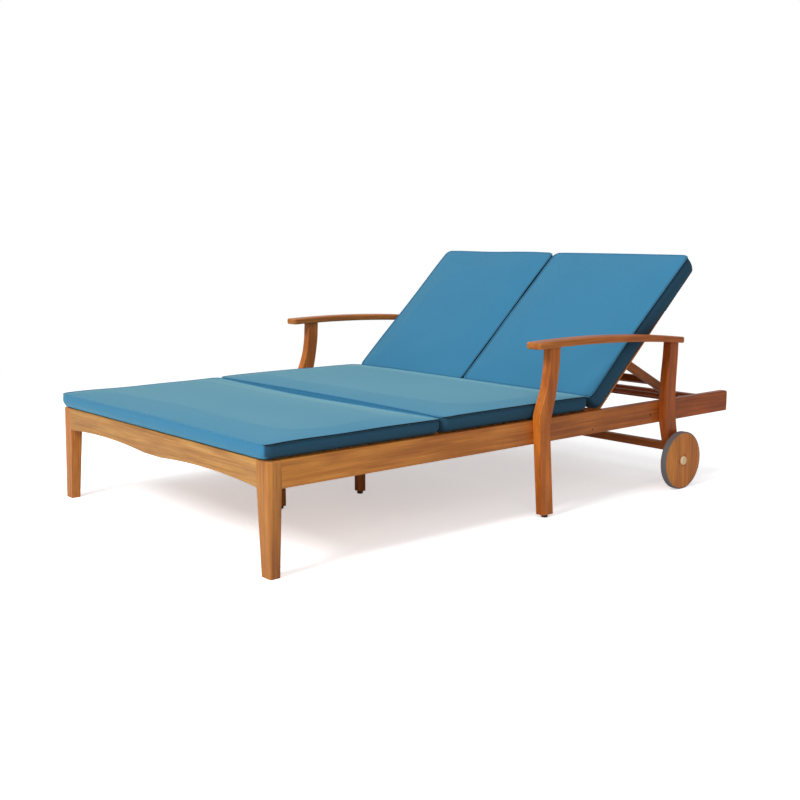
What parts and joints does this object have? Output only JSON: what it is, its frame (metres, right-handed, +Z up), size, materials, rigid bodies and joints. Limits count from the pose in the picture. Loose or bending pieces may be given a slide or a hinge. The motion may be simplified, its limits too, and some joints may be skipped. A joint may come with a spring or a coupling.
{
  "type": "double chaise lounger",
  "caption": "Wooden two-person garden sun lounger with wheels, armrests, slatted seat, two folding backrests on props, and boxed cushions.",
  "frame": {"origin": "on the floor, below the middle of the bed", "axes": "+Z up, +Y from the foot end to the head end, +X to the right as seen from the foot end"},
  "size_m": [1.3466, 2, 0.7939],
  "materials": {
    "oiled_hardwood": "satin oil",
    "cushion_fabric": "woven",
    "zinc_plated_steel": "zinc plated",
    "cap_plastic": "gloss",
    "dark_plastic": "matt",
    "tyre_rubber": "matt"
  },
  "bodies": {
    "frame": {"arm_dowels": "oiled_hardwood", "arm_front_leg_left": "oiled_hardwood", "arm_front_leg_right": "oiled_hardwood", "arm_rear_leg_left": "oiled_hardwood", "arm_rear_leg_right": "oiled_hardwood", "armrest_left": "oiled_hardwood", "armrest_right": "oiled_hardwood", "axle_bolts": "zinc_plated_steel", "axle_caps": "cap_plastic", "axle_spacers": "zinc_plated_steel", "centre_beam": "oiled_hardwood", "centre_leg_foot": "oiled_hardwood", "centre_leg_head": "oiled_hardwood", "foot_apron": "oiled_hardwood", "foot_cushion": "cushion_fabric", "front_leg_left": "oiled_hardwood", "front_leg_right": "oiled_hardwood", "hinge_pins": "zinc_plated_steel", "leg_bolts": "zinc_plated_steel", "leg_glides": "dark_plastic", "mid_cushion": "cushion_fabric", "prop_racks": "oiled_hardwood", "rear_crossbar": "oiled_hardwood", "seat_slats": "oiled_hardwood", "side_rail_left": "oiled_hardwood", "side_rail_right": "oiled_hardwood", "slat_ledgers": "oiled_hardwood", "wheel_stretcher": "oiled_hardwood"},
    "backrest_right": {"back_stile_outer_right": "oiled_hardwood", "back_stile_inner_right": "oiled_hardwood", "back_top_rail_right": "oiled_hardwood", "back_bottom_rail_right": "oiled_hardwood", "back_slats_right": "oiled_hardwood", "prop_cleats_right": "oiled_hardwood", "prop_pivots_right": "zinc_plated_steel", "back_cushion_right": "cushion_fabric", "cushion_hood_right": "cushion_fabric"},
    "prop_right": {"prop_strut_outer_right": "oiled_hardwood", "prop_strut_inner_right": "oiled_hardwood", "prop_crossbar_right": "oiled_hardwood", "prop_foot_bar_right": "oiled_hardwood"},
    "wheel_right": {"wheel_disc_right": "oiled_hardwood", "wheel_tyre_right": "tyre_rubber", "wheel_bush_right": "dark_plastic"},
    "backrest_left": {"back_stile_outer_left": "oiled_hardwood", "back_stile_inner_left": "oiled_hardwood", "back_top_rail_left": "oiled_hardwood", "back_bottom_rail_left": "oiled_hardwood", "back_slats_left": "oiled_hardwood", "prop_cleats_left": "oiled_hardwood", "prop_pivots_left": "zinc_plated_steel", "back_cushion_left": "cushion_fabric", "cushion_hood_left": "cushion_fabric"},
    "prop_left": {"prop_strut_outer_left": "oiled_hardwood", "prop_strut_inner_left": "oiled_hardwood", "prop_crossbar_left": "oiled_hardwood", "prop_foot_bar_left": "oiled_hardwood"},
    "wheel_left": {"wheel_disc_left": "oiled_hardwood", "wheel_tyre_left": "tyre_rubber", "wheel_bush_left": "dark_plastic"}
  },
  "joints": [
    {"name": "backrest_right_hinge", "type": "hinge", "parent": "frame", "child": "backrest_right", "pos_m": [0.2975, 0.299, 0.296], "axis": [1, 0, 0], "range_deg": [-42.5, 20.5]},
    {"name": "prop_right_hinge", "type": "hinge", "parent": "backrest_right", "child": "prop_right", "pos_m": [0.2975, 0.48642, 0.44671], "axis": [1, 0, 0], "range_deg": [-32, 66.4]},
    {"name": "wheel_right_spin", "type": "hinge", "parent": "frame", "child": "wheel_right", "pos_m": [0.6565, 0.654, 0.099], "axis": [1, 0, 0], "continuous": true},
    {"name": "backrest_left_hinge", "type": "hinge", "parent": "frame", "child": "backrest_left", "pos_m": [-0.2975, 0.299, 0.296], "axis": [1, 0, 0], "range_deg": [-42.5, 20.5]},
    {"name": "prop_left_hinge", "type": "hinge", "parent": "backrest_left", "child": "prop_left", "pos_m": [-0.2975, 0.48642, 0.44671], "axis": [1, 0, 0], "range_deg": [-32, 66.4]},
    {"name": "wheel_left_spin", "type": "hinge", "parent": "frame", "child": "wheel_left", "pos_m": [-0.6565, 0.654, 0.099], "axis": [1, 0, 0], "continuous": true}
  ],
  "couplings": [
    {"joint": "prop_right_hinge", "follows": "backrest_right_hinge", "ratio": -1.56},
    {"joint": "prop_left_hinge", "follows": "backrest_left_hinge", "ratio": -1.56}
  ]
}
